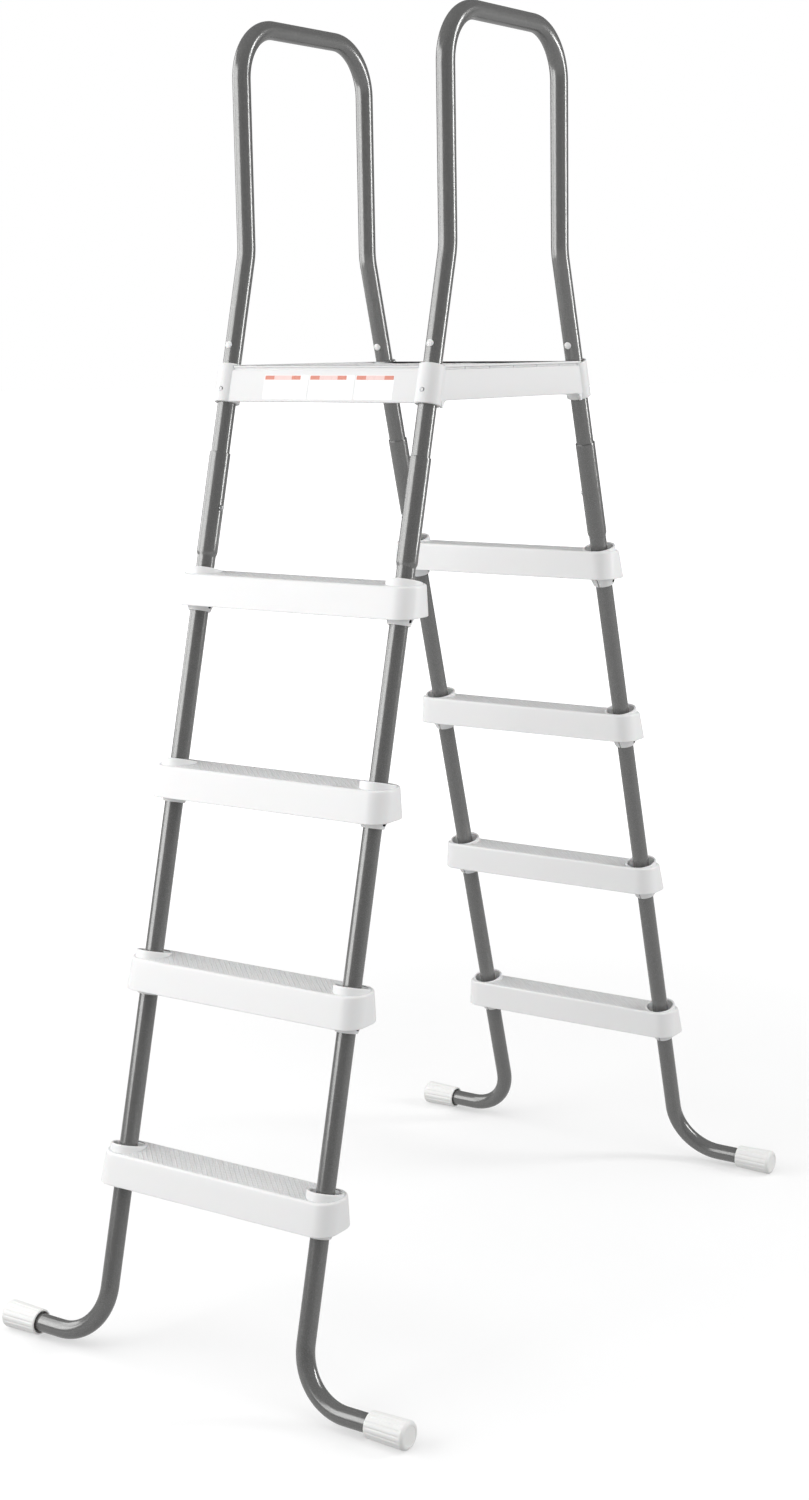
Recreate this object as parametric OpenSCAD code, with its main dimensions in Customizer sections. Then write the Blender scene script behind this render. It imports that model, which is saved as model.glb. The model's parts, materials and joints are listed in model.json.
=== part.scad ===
// Free-standing A-frame pool ladder: two leaning ladders of bent steel tube and moulded steps,
// joined by a moulded platform and two inverted-U handrails.
// Millimetres. +Z is up, X runs along the steps, Y runs from the front ladder to the back one.
// The origin is on the floor, under the middle of the platform.

/* [Stance] */
// Height of the platform's walking face above the floor
deck_h = 1320; // [1250:5:1380]
// Spacing of the two tubes of one ladder, centre to centre
tube_gap_x = 332.5; // [315:0.5:360]
// Spacing of the front and back tubes where they pass the platform's walking face
tube_gap_y = 368; // [350:2:400]
// Lean of each ladder from upright, in degrees
lean = 14.8; // [14.6:0.2:15]

/* [Tubes] */
// Outer diameter of every tube
tube_d = 25; // [24:0.5:26]
// Wall of every tube
tube_wall = 1.5; // [1.2:0.1:1.6]
// Radius of the handrails' top corners, on the tube's axis
rail_corner_r = 72; // [60:1:90]
// Radius of the bend above each foot, on the tube's axis
foot_bend_r = 75; // [60:1:85]

/* [Handrails] */
// Height of the knee above the platform
knee_rise = 151.5; // [130:0.5:180]
// Height of the handrail's top above the platform, to the top of the tube
rail_rise = 466.5; // [430:0.5:500]
// Height of the hole plugs above the platform
plug_rise = 25; // [20:1:40]

/* [Sockets] */
// Drop from the platform's walking face to the top of each leg's socket
socket_drop = 118; // [110:1:130]
// Length of the widened socket along the leg
socket_len = 138; // [125:1:145]
// Clearance between the handrail tube and the socket, all round
socket_play = 0.15; // [0.1:0.05:0.25]
// Drop from the platform's walking face to the snap buttons
button_drop = 192; // [180:1:200]
// Diameter of the snap buttons
button_d = 8; // [7:0.5:9]
// How far a snap button stands out of its socket
button_proud = 3; // [2:0.5:4]

/* [Steps] */
// Number of steps on each ladder
step_count = 4; // [4:1:4]
// Drop from the platform to the top of the first step, measured at the tube
first_step_drop = 278.5; // [270:0.5:300]
// Rise from one step to the next
step_pitch = 255.5; // [250:0.5:260]
// Length of a step
step_len = 391; // [386:1:410]
// Depth of a step's top, front to back
step_depth = 58; // [56:1:66]
// Height of a step's skirt
step_h = 42; // [38:1:46]
// Radius of a step's corners in plan
step_corner_r = 26; // [18:1:27]
// Wall of the mouldings
shell_wall = 3; // [2.5:0.1:3.5]

/* [Platform] */
// Outer diameter of the platform's corner collars
collar_d = 35; // [34:1:38]
// Height of the corner collars along the tube
collar_h = 53; // [52:1:56]
// Diameter of the wide mouth round the tube at the top of each collar
collar_mouth_d = 30.4; // [29:0.2:31]
// Height of the apron along the front and the back
apron_h = 53; // [48:1:54]
// Height of the apron along each side
side_apron_h = 46; // [40:1:48]

/* [Feet] */
// Outer diameter of the foot caps
cap_d = 38; // [36:1:40]
// Length of the foot caps
cap_len = 60; // [50:1:65]
// Distance from a leg's axis to the outer end of its foot cap
foot_reach = 172.5; // [165:0.5:180]

/* [Hidden] */
STEPS = [1 : step_count];
$fn = 64;

PAINT = "#6f7173";
PLASTIC = "#f2f2f2";
CAP = "#e6e6e4";
STEEL = "#c9ccce";
DARK = "#2c2d2e";
LABEL = "#fbfbf8";

PAST = 1;                                   // how far a cutter runs past the face it cuts
tube_r = tube_d / 2;
bore_d = tube_d - 2 * tube_wall;
rail_y = tube_gap_y / 2 - knee_rise * tan(lean);
rail_short = 6;                             // how far the handrail's end stops above the socket's low end
rail_low = along(socket_drop) + socket_len - rail_short;
knee_end = 2;                               // the straight tubes stop this far short of the knee's centre
knee_swell = 1.03;                          // the knee's width over the tube's
socket_bore_d = tube_d + 2 * socket_play;
socket_d = socket_bore_d + 2 * tube_wall;
swage_len = 7;
snug = 0.1;                                 // clearance on the diameter of pieces pushed over a tube
foot_axis_h = cap_d / 2;
leg_end = (deck_h - foot_axis_h) / cos(lean);
cap_floor = 7;
cap_edge = 3;
foot_end = foot_reach - cap_floor - 1;      // the end of the foot's tube, just short of its cap's floor

bolt_d = 6;
bolt_hole_d = 6.4;
bolt_drop = 35;
bolt_head_d = 10;
bolt_head_h = 2.4;
head_pocket_d = 11;
head_pocket_depth = 2.6;
washer_d = 12;
washer_t = 1.2;
nut_flats = 10;
nut_h = 5;
nut_flat = 2.5;                             // depth of the flat that a washer lies on
nut_seat = collar_d / 2 - nut_flat;
bolt_past = 2;                              // how far a bolt stands out of its nut
bore_play = 0.4;                            // clearance on the diameter of the collars' bores
collar_mouth_h = 5;

plug_d = 8;
plug_head_d = 10;
plug_head_h = 2.4;
plug_rim = 0.6;
plug_skirt = 1.2;
button_hole_d = button_d + 0.16;
flange_d = 11;
flange_t = 1;
flange_face = 9.2;
spring_t = 0.8;
spring_w = 8;
spring_rise = 36;
spring_bend_r = 3.6;
spring_far_x = 9.6;
spring_tail = 7;
spring_gap = 0.2;

ring_rise = 5;
hub_d = 49;
hub_drop = 36;
sleeve_d = 36;
seat_d = 36.6;
mouth_d = 41;
mouth_h = 22;
flare_d = 42;
flare_tip_d = 30;
flare_h = 18.1;
sleeve_slit = 2;
sleeve_gap = 0.3;
screw_head_d = 5;
screw_d = 3;
screw_drop = 11.3;
screw_play = 0.2;
screw_seat_r = tube_r + 2;                  // distance of a screw's head from the tube's axis
screw_head_t = 1.6;
screw_bite = 4;                             // how far a screw reaches inside the tube's surface
rib_t = 2.2;
rib_h = 24;
rib_count = 7;
rib_root = 4;                               // how far a rib runs into a hub
tread_t = 3.5;

deck_t = 3;
groove_h = 3;
groove_root = 2;                            // how far a groove's wall runs down behind the apron
wall_lap = 0.5;                             // how far a groove's wall laps the apron behind its face
rib_past = 8;
lip_over = 3;
end_inset = 5;                              // how far the collars stand out of the front and back aprons
side_inset = 2.5;                           // how far they stand out of the platform's sides
end_face = collar_d / 2 - end_inset;
deck_side_x = tube_gap_x / 2 + collar_d / 2 - side_inset;
deck_end_y = tube_gap_y / 2 + end_face;

LABEL_WIDTHS = [74, 74, 62];
label_h = 33;
label_pitch = 76;
label_t = 0.3;
label_left = -96;
label_drop = 16.5;

// Drop along a leaning tube that belongs to a drop straight down
function along(drop) = drop / cos(lean);

// Height above the floor of the top of step number i, at the tube's axis
function step_top(i) = deck_h - first_step_drop - (i - 1) * step_pitch;

// Distance of a leaning tube's axis from the middle plane at a height above the floor
function tube_y(h) = tube_gap_y / 2 + (deck_h - h) * tan(lean);

// Place of a sleeve's screw below the top of its step's ring
function screw_z() = -ring_rise - hub_drop - sleeve_gap - screw_drop;

// Places its children on the side of the object named by the signs of X and Y
module at_side(sx, sy) {
    mirror([sx < 0 ? 1 : 0, 0, 0])
        mirror([0, sy < 0 ? 1 : 0, 0])
            children();
}

// A leaning tube's own frame: the axis is Z, and Z = 0 is level with the platform
module on_tube(sx, sy) {
    at_side(sx, sy)
        translate([tube_gap_x / 2, tube_gap_y / 2, deck_h])
            rotate([lean, 0, 0])
                children();
}

// One half of a handrail as a solid bar, from the top's middle down to its end in the socket
module half_rail_bar(d, low) {
    bend_z = rail_rise - tube_r - rail_corner_r;
    lean_run = low + along(knee_rise);
    translate([0, rail_y, bend_z]) {
        translate([0, -rail_corner_r, 0])
            rotate([90, 0, 90])
                rotate_extrude(angle = 90)
                    translate([rail_corner_r, 0])
                        circle(d = d);
        translate([0, -rail_corner_r, rail_corner_r])
            rotate([90, 0, 0])
                cylinder(d = d, h = rail_y - rail_corner_r + PAST);
        translate([0, 0, knee_rise + knee_end - bend_z])
            cylinder(d = d, h = bend_z - knee_rise - knee_end);
    }
    translate([0, rail_y, knee_rise]) {
        sphere(d = d * knee_swell);
        rotate([lean, 0, 0])
            translate([0, 0, -lean_run])
                cylinder(d = d, h = lean_run - knee_end);
    }
}

module rail_bar(d, low) {
    half_rail_bar(d, low);
    mirror([0, 1, 0])
        half_rail_bar(d, low);
}

// Holes in a handrail's leg, in the leaning tube's frame
module rail_holes() {
    translate([0, 0, -along(bolt_drop)])
        rotate([90, 0, 0])
            cylinder(d = bolt_hole_d, h = tube_d * 2, center = true);
    translate([0, 0, along(plug_rise)])
        rotate([90, 0, 0])
            cylinder(d = plug_d + snug, h = tube_d * 2, center = true);
    translate([0, 0, -along(button_drop)])
        rotate([0, -90, 0])
            cylinder(d = button_hole_d, h = tube_d);
}

module rail(sx) {
    color(PAINT)
        difference() {
            translate([sx * tube_gap_x / 2, 0, deck_h])
                rail_bar(tube_d, rail_low);
            translate([sx * tube_gap_x / 2, 0, deck_h])
                rail_bar(bore_d, rail_low + PAST);
            on_tube(sx, 1)
                rail_holes();
            on_tube(sx, -1)
                rail_holes();
        }
}

// A leg as a solid bar: socket, swage, tube, bend and foot, in the leaning tube's frame
module leg_bar(d, socket, top, reach) {
    socket_top = leg_end - along(socket_drop) + top;
    socket_low = leg_end - along(socket_drop) - socket_len;
    translate([0, 0, -leg_end]) {
        rotate_extrude()
            polygon([[0, foot_bend_r], [d / 2, foot_bend_r], [d / 2, socket_low - swage_len],
                     [socket / 2, socket_low], [socket / 2, socket_top], [0, socket_top]]);
        translate([foot_bend_r, 0, foot_bend_r])
            rotate([90, 180, 0])
                rotate_extrude(angle = 90)
                    translate([foot_bend_r, 0])
                        circle(d = d);
        translate([foot_bend_r, 0, 0])
            rotate([0, 90, 0])
                cylinder(d = d, h = reach - foot_bend_r);
    }
}

module leg(sx, sy) {
    color(PAINT)
        on_tube(sx, sy)
            difference() {
                leg_bar(tube_d, socket_d, 0, foot_end);
                leg_bar(bore_d, socket_bore_d, PAST, foot_end + PAST);
                translate([0, 0, -along(button_drop)])
                    rotate([0, -90, 0])
                        cylinder(d = button_hole_d, h = tube_d);
                for (i = STEPS)
                    translate([0, 0, -along(deck_h - step_top(i)) + ring_rise + screw_z()])
                        rotate([0, sx * 90, 0])
                            cylinder(d = screw_d + screw_play, h = tube_d);
            }
}

// Cap on the end of a foot, closed at its outer end
module foot_cap(sx, sy) {
    color(CAP)
        on_tube(sx, sy)
            translate([foot_reach, 0, -leg_end])
                rotate([0, -90, 0])
                    difference() {
                        union() {
                            cylinder(d1 = cap_d - 2 * cap_edge, d2 = cap_d, h = cap_edge);
                            translate([0, 0, cap_edge])
                                cylinder(d = cap_d, h = cap_len - cap_edge);
                        }
                        translate([0, 0, cap_floor])
                            cylinder(d = tube_d + snug, h = cap_len);
                    }
}

// Outline of a step's body, drawn in by inset: rounded corners near Y = 0 and open towards +Y
module step_outline(inset) {
    len = step_len - 2 * inset;
    r = step_corner_r - inset;
    reach = 2 * step_depth;
    translate([-len / 2 + r, inset])
        square([len - 2 * r, reach]);
    translate([-len / 2, inset + r])
        square([len, reach]);
    for (sx = [-1, 1])
        translate([sx * (len / 2 - r), inset + r])
            circle(r = r);
}

// A step's body between two heights: its inner face is upright, its outer one leans like the legs
module step_body(inset, low, high) {
    intersection() {
        translate([0, -step_depth / 2, low])
            linear_extrude(high - low)
                step_outline(inset);
        translate([0, step_depth / 2, 0])
            rotate([lean, 0, 0])
                translate([0, 0, -2 * step_h])
                    linear_extrude(4 * step_h)
                        mirror([0, 1])
                            step_outline(inset);
    }
}

// The upright frame of step number i: Z = 0 at its top, Y = 0 where the tubes' axes pass it
module on_step(sy, i) {
    at_side(1, sy)
        translate([0, tube_y(step_top(i)), step_top(i)])
            children();
}

// The leaning tube's frame at step number i, with Z = 0 at the top of the step's ring
module at_step(sx, sy, i) {
    on_tube(sx, sy)
        translate([0, 0, -along(deck_h - step_top(i)) + ring_rise])
            children();
}

// Ribs under a step's tread: one lengthwise between the hubs, the others across it
module step_ribs() {
    span = tube_gap_x - hub_d;
    translate([-span / 2 - rib_root, step_h * tan(lean) / 2 - rib_t / 2, -tread_t - rib_h])
        cube([span + 2 * rib_root, rib_t, rib_h + tread_t]);
    for (n = [1 : rib_count])
        translate([(n - (rib_count + 1) / 2) * span / (rib_count + 1) - rib_t / 2,
                   -step_depth, -tread_t - rib_h])
            cube([rib_t, 2 * step_depth, rib_h + tread_t]);
}

// A step: a tray open underneath, with two leaning hubs that the legs pass through
module step(sy, i) {
    color(PLASTIC)
        difference() {
            union() {
                on_step(sy, i) {
                    difference() {
                        step_body(0, -step_h, 0);
                        step_body(shell_wall, -step_h - PAST, -tread_t);
                    }
                    intersection() {
                        step_body(shell_wall / 2, -step_h, -tread_t / 2);
                        step_ribs();
                    }
                }
                for (sx = [-1, 1])
                    at_step(sx, sy, i)
                        translate([0, 0, -ring_rise - hub_drop])
                            cylinder(d = hub_d, h = ring_rise + hub_drop);
            }
            for (sx = [-1, 1])
                at_step(sx, sy, i) {
                    translate([0, 0, -mouth_h - hub_drop - step_h])
                        cylinder(d = seat_d, h = hub_drop + step_h + PAST);
                    translate([0, 0, -mouth_h])
                        cylinder(d = mouth_d, h = mouth_h + PAST);
                }
        }
}

// The two split sleeves that carry a step on its tubes
module sleeves(sy, i) {
    sleeve_top = -mouth_h - sleeve_gap;
    sleeve_low = -ring_rise - hub_drop - sleeve_gap;
    whole = sleeve_top - sleeve_low + flare_h;
    color(PLASTIC)
        for (sx = [-1, 1])
            at_step(sx, sy, i)
                difference() {
                    union() {
                        translate([0, 0, sleeve_low])
                            cylinder(d = sleeve_d, h = sleeve_top - sleeve_low);
                        translate([0, 0, sleeve_low - flare_h])
                            cylinder(d1 = flare_tip_d, d2 = flare_d, h = flare_h);
                    }
                    translate([0, 0, sleeve_low - flare_h - PAST])
                        cylinder(d = tube_d + snug, h = whole + 2 * PAST);
                    translate([-sleeve_slit / 2, -flare_d, sleeve_low - flare_h - PAST])
                        cube([sleeve_slit, flare_d, whole + 2 * PAST]);
                    translate([0, 0, sleeve_low - screw_drop])
                        rotate([0, sx * 90, 0])
                            cylinder(d = screw_d + screw_play, h = flare_d);
                    translate([0, 0, sleeve_low - screw_drop])
                        rotate([0, sx * 90, 0])
                            translate([0, 0, screw_seat_r])
                                cylinder(d = screw_head_d + screw_play, h = flare_d);
                }
}

// The screws that pin one ladder's sleeves to its tubes, all driven from the right
module sleeve_screws(sy) {
    color(DARK)
        for (sx = [-1, 1])
            for (i = STEPS)
                at_step(sx, sy, i)
                    translate([0, 0, screw_z()])
                        rotate([0, sx * 90, 0]) {
                            translate([0, 0, screw_seat_r])
                                cylinder(d = screw_head_d, h = screw_head_t);
                            translate([0, 0, tube_r - screw_bite])
                                cylinder(d = screw_d, h = screw_seat_r - tube_r + screw_bite + screw_head_t / 2);
                        }
}

// One end of the platform in its leaning frame, with Z = 0 level with the walking face
module on_end(sy) {
    at_side(1, sy)
        translate([0, tube_gap_y / 2, deck_h])
            rotate([lean, 0, 0])
                children();
}

// Outline of the platform's walking face
module deck_plan() {
    square([2 * deck_side_x, tube_gap_y], center = true);
    square([tube_gap_x, 2 * deck_end_y], center = true);
}

// A straight apron along X, its outer face at Y = face, and the groove's wall above it
module apron(face, len, h, groove_drop) {
    translate([-len / 2, face - shell_wall, -h])
        cube([len, shell_wall, h - groove_drop]);
    translate([-len / 2, face - 2 * shell_wall + wall_lap, -groove_drop - groove_root])
        cube([len, shell_wall, groove_drop + groove_root]);
}

// Aprons and ribs under the walking face
module platform_walls() {
    side_face = deck_side_x - lip_over / 2;
    groove_low = deck_t + groove_h;
    rib_z = deck_h - deck_t - rib_h;
    for (sy = [-1, 1])
        on_end(sy)
            apron(end_face, tube_gap_x, apron_h, (groove_low + end_face * sin(lean)) / cos(lean));
    for (sx = [-1, 1])
        translate([0, 0, deck_h])
            rotate(-sx * 90)
                apron(side_face, tube_gap_y, side_apron_h, groove_low);
    for (n = [-1, 0, 1])
        translate([n * tube_gap_x / 4 - rib_t / 2, -tube_gap_y / 2 - rib_past, rib_z])
            cube([rib_t, tube_gap_y + 2 * rib_past, rib_h + deck_t / 2]);
    for (n = [-2 : 2])
        translate([-deck_side_x + shell_wall, n * tube_gap_y / 6 - rib_t / 2, rib_z])
            cube([2 * (deck_side_x - shell_wall), rib_t, rib_h + deck_t / 2]);
}

module platform() {
    color(PLASTIC)
        difference() {
            union() {
                translate([0, 0, deck_h - deck_t])
                    linear_extrude(deck_t)
                        deck_plan();
                intersection() {
                    platform_walls();
                    translate([-deck_side_x, -deck_end_y - apron_h, 0])
                        cube([2 * deck_side_x, 2 * (deck_end_y + apron_h), deck_h - deck_t / 2]);
                }
                for (sx = [-1, 1])
                    for (sy = [-1, 1])
                        on_tube(sx, sy)
                            translate([0, 0, -collar_h])
                                cylinder(d = collar_d, h = collar_h);
            }
            for (sx = [-1, 1])
                for (sy = [-1, 1])
                    on_tube(sx, sy) {
                        translate([0, 0, -collar_h - PAST])
                            cylinder(d = tube_d + bore_play, h = collar_h + 2 * PAST);
                        translate([0, 0, -collar_mouth_h])
                            cylinder(d = collar_mouth_d, h = collar_d);
                        translate([0, 0, -along(bolt_drop)])
                            rotate([-90, 0, 0]) {
                                translate([0, 0, -collar_d])
                                    cylinder(d = bolt_hole_d, h = 2 * collar_d);
                                translate([0, 0, collar_d / 2 - head_pocket_depth])
                                    cylinder(d = head_pocket_d, h = collar_d);
                                translate([0, 0, -nut_seat - rib_h])
                                    cylinder(d = washer_d + 2, h = rib_h);
                            }
                    }
        }
}

// The frame of a platform bolt: Z points out of the collar, from the tube's axis
module at_bolts() {
    for (sx = [-1, 1])
        for (sy = [-1, 1])
            on_tube(sx, sy)
                translate([0, 0, -along(bolt_drop)])
                    rotate([-90, 0, 0])
                        children();
}

module platform_bolts() {
    head_seat = collar_d / 2 - head_pocket_depth;
    color(STEEL)
        at_bolts() {
            translate([0, 0, head_seat])
                cylinder(d = bolt_head_d, h = bolt_head_h);
            translate([0, 0, -nut_seat - washer_t - nut_h - bolt_past])
                cylinder(d = bolt_d,
                         h = head_seat + nut_seat + washer_t + nut_h + bolt_past + bolt_head_h / 2);
        }
}

module platform_washers() {
    color(STEEL)
        at_bolts()
            translate([0, 0, -nut_seat - washer_t])
                difference() {
                    cylinder(d = washer_d, h = washer_t);
                    translate([0, 0, -PAST])
                        cylinder(d = bolt_hole_d, h = washer_t + 2 * PAST);
                }
}

module platform_nuts() {
    color(STEEL)
        at_bolts()
            translate([0, 0, -nut_seat - washer_t - nut_h])
                difference() {
                    cylinder(d = nut_flats / cos(30), h = nut_h, $fn = 6);
                    translate([0, 0, -PAST])
                        cylinder(d = bolt_d + snug, h = nut_h + 2 * PAST);
                }
}

// Rounded end of a pin: a spherical cap of base diameter d and height h
module dome(d, h) {
    r = (d * d / 4 + h * h) / (2 * h);
    intersection() {
        translate([0, 0, h - r])
            sphere(r = r);
        cylinder(d = d, h = h + PAST);
    }
}

// Plugs that close the spare cross holes in a handrail's legs, on both faces
module hole_plugs(sx) {
    color(PLASTIC)
        for (sy = [-1, 1])
            on_tube(sx, sy)
                translate([0, 0, along(plug_rise)])
                    for (face = [-90, 90])
                        rotate([face, 0, 0]) {
                            difference() {
                                translate([0, 0, tube_r - plug_skirt]) {
                                    cylinder(d = plug_head_d, h = plug_skirt + plug_rim);
                                    translate([0, 0, plug_skirt + plug_rim])
                                        dome(plug_head_d, plug_head_h - plug_rim);
                                }
                                rotate([90, 0, 0])
                                    cylinder(d = tube_d + snug, h = 2 * plug_head_d, center = true);
                            }
                            translate([0, 0, tube_r - tube_wall - plug_skirt])
                                cylinder(d = plug_d, h = tube_wall + plug_skirt + plug_rim);
                        }
}

// The frame of a snap button: Z points out of the tube, towards the inside of the ladder
module at_button(sx, sy) {
    on_tube(sx, sy)
        translate([0, 0, -along(button_drop)])
            rotate([0, -90, 0])
                children();
}

module snap_button(sx, sy) {
    dome_h = 1.6;
    tip = socket_d / 2 + button_proud;
    color(STEEL)
        at_button(sx, sy) {
            translate([0, 0, flange_face - flange_t])
                cylinder(d = flange_d, h = flange_t);
            translate([0, 0, flange_face - flange_t / 2])
                cylinder(d = button_d, h = tip - dome_h - flange_face + flange_t / 2);
            translate([0, 0, tip - dome_h])
                dome(button_d, dome_h);
        }
}

// A flat bar of the spring's thickness between two points of its outline
module strip(from, to) {
    run = to - from;
    translate(from)
        rotate(atan2(run[1], run[0])) {
            translate([0, -spring_t / 2])
                square([norm(run), spring_t]);
            circle(d = spring_t, $fn = 24);
            translate([norm(run), 0])
                circle(d = spring_t, $fn = 24);
        }
}

// V-shaped strip spring inside the handrail tube, which pushes the button out
module snap_spring(sx, sy) {
    near = [-(flange_face - flange_t - spring_gap - spring_t / 2), 0];
    far = [spring_far_x, 0];
    bend_r = spring_bend_r - spring_t / 2;
    color(STEEL)
        on_tube(sx, sy)
            translate([0, spring_w / 2, -along(button_drop)])
                rotate([90, 0, 0])
                    linear_extrude(spring_w) {
                        translate([0, spring_rise])
                            intersection() {
                                difference() {
                                    circle(r = spring_bend_r);
                                    circle(r = spring_bend_r - spring_t);
                                }
                                translate([-spring_bend_r, 0])
                                    square([2 * spring_bend_r, spring_bend_r]);
                            }
                        strip([-bend_r, spring_rise], near + [0, spring_tail]);
                        strip(near + [0, spring_tail], near - [0, spring_tail]);
                        strip([bend_r, spring_rise], far + [0, spring_tail]);
                        strip(far + [0, spring_tail], far - [0, spring_tail]);
                    }
}

// A blank paper label on the front apron, number n from the left
module label(n) {
    color(LABEL)
        on_end(-1)
            translate([label_left + (n - 1) * label_pitch, end_face, -label_drop - label_h])
                cube([LABEL_WIDTHS[n - 1], label_t, label_h]);
}

rail(-1);  // rail_left
rail(1);  // rail_right
platform();
leg(-1, -1);  // leg_front_left
leg(1, -1);  // leg_front_right
leg(-1, 1);  // leg_back_left
leg(1, 1);  // leg_back_right
foot_cap(-1, -1);  // foot_cap_front_left
foot_cap(1, -1);  // foot_cap_front_right
foot_cap(-1, 1);  // foot_cap_back_left
foot_cap(1, 1);  // foot_cap_back_right
step(-1, 1);  // step_front_1
step(-1, 2);  // step_front_2
step(-1, 3);  // step_front_3
step(-1, 4);  // step_front_4
step(1, 1);  // step_back_1
step(1, 2);  // step_back_2
step(1, 3);  // step_back_3
step(1, 4);  // step_back_4
sleeves(-1, 1);  // sleeves_front_1
sleeves(-1, 2);  // sleeves_front_2
sleeves(-1, 3);  // sleeves_front_3
sleeves(-1, 4);  // sleeves_front_4
sleeves(1, 1);  // sleeves_back_1
sleeves(1, 2);  // sleeves_back_2
sleeves(1, 3);  // sleeves_back_3
sleeves(1, 4);  // sleeves_back_4
sleeve_screws(-1);  // sleeve_screws_front
sleeve_screws(1);  // sleeve_screws_back
snap_button(-1, -1);  // snap_button_front_left
snap_button(1, -1);  // snap_button_front_right
snap_button(-1, 1);  // snap_button_back_left
snap_button(1, 1);  // snap_button_back_right
snap_spring(-1, -1);  // snap_spring_front_left
snap_spring(1, -1);  // snap_spring_front_right
snap_spring(-1, 1);  // snap_spring_back_left
snap_spring(1, 1);  // snap_spring_back_right
platform_bolts();
platform_washers();
platform_nuts();
hole_plugs(-1);  // hole_plugs_left
hole_plugs(1);  // hole_plugs_right
label(1);  // label_left
label(2);  // label_middle
label(3);  // label_right
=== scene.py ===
# Looks of the pool ladder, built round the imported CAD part. Lengths are in millimetres until a mesh is made.
import json
import math

import bmesh
import bpy
from mathutils import Matrix, Vector


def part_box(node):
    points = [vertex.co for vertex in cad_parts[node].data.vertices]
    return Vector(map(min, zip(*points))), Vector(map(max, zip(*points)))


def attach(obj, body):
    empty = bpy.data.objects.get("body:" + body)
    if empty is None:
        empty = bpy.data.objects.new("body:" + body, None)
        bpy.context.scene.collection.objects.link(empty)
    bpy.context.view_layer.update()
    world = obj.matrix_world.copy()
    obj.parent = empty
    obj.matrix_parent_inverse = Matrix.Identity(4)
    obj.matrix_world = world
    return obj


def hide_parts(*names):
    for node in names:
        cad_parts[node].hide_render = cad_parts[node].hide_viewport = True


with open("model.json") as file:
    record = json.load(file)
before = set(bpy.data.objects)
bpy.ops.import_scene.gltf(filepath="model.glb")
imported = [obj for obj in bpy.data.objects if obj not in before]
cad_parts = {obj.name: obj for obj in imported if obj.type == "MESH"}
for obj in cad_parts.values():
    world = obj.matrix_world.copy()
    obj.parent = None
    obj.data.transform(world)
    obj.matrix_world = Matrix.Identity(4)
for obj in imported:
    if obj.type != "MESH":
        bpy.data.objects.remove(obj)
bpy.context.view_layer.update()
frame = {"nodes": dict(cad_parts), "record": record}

MM = 0.001
FRAME_BODY = "frame"
COS = math.cos
SIN = math.sin
PI = math.pi


def low(node):
    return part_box(node)[0] / MM


def high(node):
    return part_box(node)[1] / MM


# ---------------------------------------------------------------- sizes shared with part.scad
DECK_H = frame["record"]["mounts"][0]["pos_m"][2] / MM
LEAN = math.radians(14.8)
GAP_X = 332.5                                               # spacing of one ladder's tubes
GAP_Y = 368.0                                               # spacing front to back at the deck
TUBE_R = 12.5
BORE_R = 11.0
SOCKET_R = 14.15
RAIL_TOP = high("rail_left").z
RAIL_CORNER_R = 72.0
KNEE_R = 90.0
KNEE_RISE = 151.5
FOOT_BEND_R = 75.0
FOOT_H = 19.0
FOOT_REACH = 172.5
SOCKET_DROP = 118.0
SOCKET_LEN = 138.0
STEP_LEN = high("step_front_1").x * 2
STEP_DEPTH = 58.0
STEP_H = 42.0
STEP_PITCH = low("step_front_1").z - low("step_front_2").z
STEP_1_TOP = low("step_front_1").z + STEP_H
RING_RISE = 5.0
COLLAR_R = 17.5
COLLAR_H = 53.0
APRON_H = 53.0
SIDE_APRON_H = 46.0
SIDE_X = GAP_X / 2 + 15.0
SOCKET_BORE_R = 12.65
RAIL_SHORT = 6.0                                            # from a handrail's end to its socket's floor
SWAGE_LEN = 7.0                                             # over which a socket narrows to the tube
FOOT_SHORT = 8.0                                            # from a foot's end to its cap's end
TUBE_EDGE = 0.5                                             # rounding of a tube's cut end
RIB_HALF = 1.1                                              # half the thickness of a stiffening rib


def along(drop):
    return drop / COS(LEAN)


def step_top(i):
    return STEP_1_TOP - (i - 1) * STEP_PITCH


def tube_y(h):
    return GAP_Y / 2 + (DECK_H - h) * math.tan(LEAN)


def leaning(sx, sy, drop=0.0):
    """Maps points of a leaning tube's frame, whose Z axis is the tube's, to the row frame."""
    def place(p):
        x, y, z = p
        z = z - along(drop)
        return (sx * (GAP_X / 2 + x),
                sy * (GAP_Y / 2 + y * COS(LEAN) - z * SIN(LEAN)),
                DECK_H + y * SIN(LEAN) + z * COS(LEAN))
    return place


# ---------------------------------------------------------------- mesh building
class Build:
    """Collects vertices and faces in millimetres, then makes one object of them."""

    def __init__(self):
        self.v = []
        self.f = []
        self.m = []

    def add(self, verts, faces, place=None, mat=0):
        base = len(self.v)
        self.v += [place(p) if place else tuple(p) for p in verts]
        self.f += [tuple(base + i for i in f) for f in faces]
        self.m += [mat] * len(faces)

    def make(self, name, mats, body=FRAME_BODY, stands_for=(), sharp=35):
        me = bpy.data.meshes.new(name)
        me.from_pydata([(x * MM, y * MM, z * MM) for x, y, z in self.v], [], self.f)
        for m in mats:
            me.materials.append(m)
        for p, m in zip(me.polygons, self.m):
            p.material_index = m
        bm = bmesh.new()
        bm.from_mesh(me)
        bmesh.ops.remove_doubles(bm, verts=bm.verts, dist=2e-6)
        bmesh.ops.recalc_face_normals(bm, faces=bm.faces)
        bm.to_mesh(me)
        bm.free()
        me.polygons.foreach_set("use_smooth", [True] * len(me.polygons))
        me.set_sharp_from_angle(angle=math.radians(sharp))
        o = bpy.data.objects.new(name, me)
        bpy.context.scene.collection.objects.link(o)
        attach(o, body)
        if stands_for:
            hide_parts(*stands_for)
        return o


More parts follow.
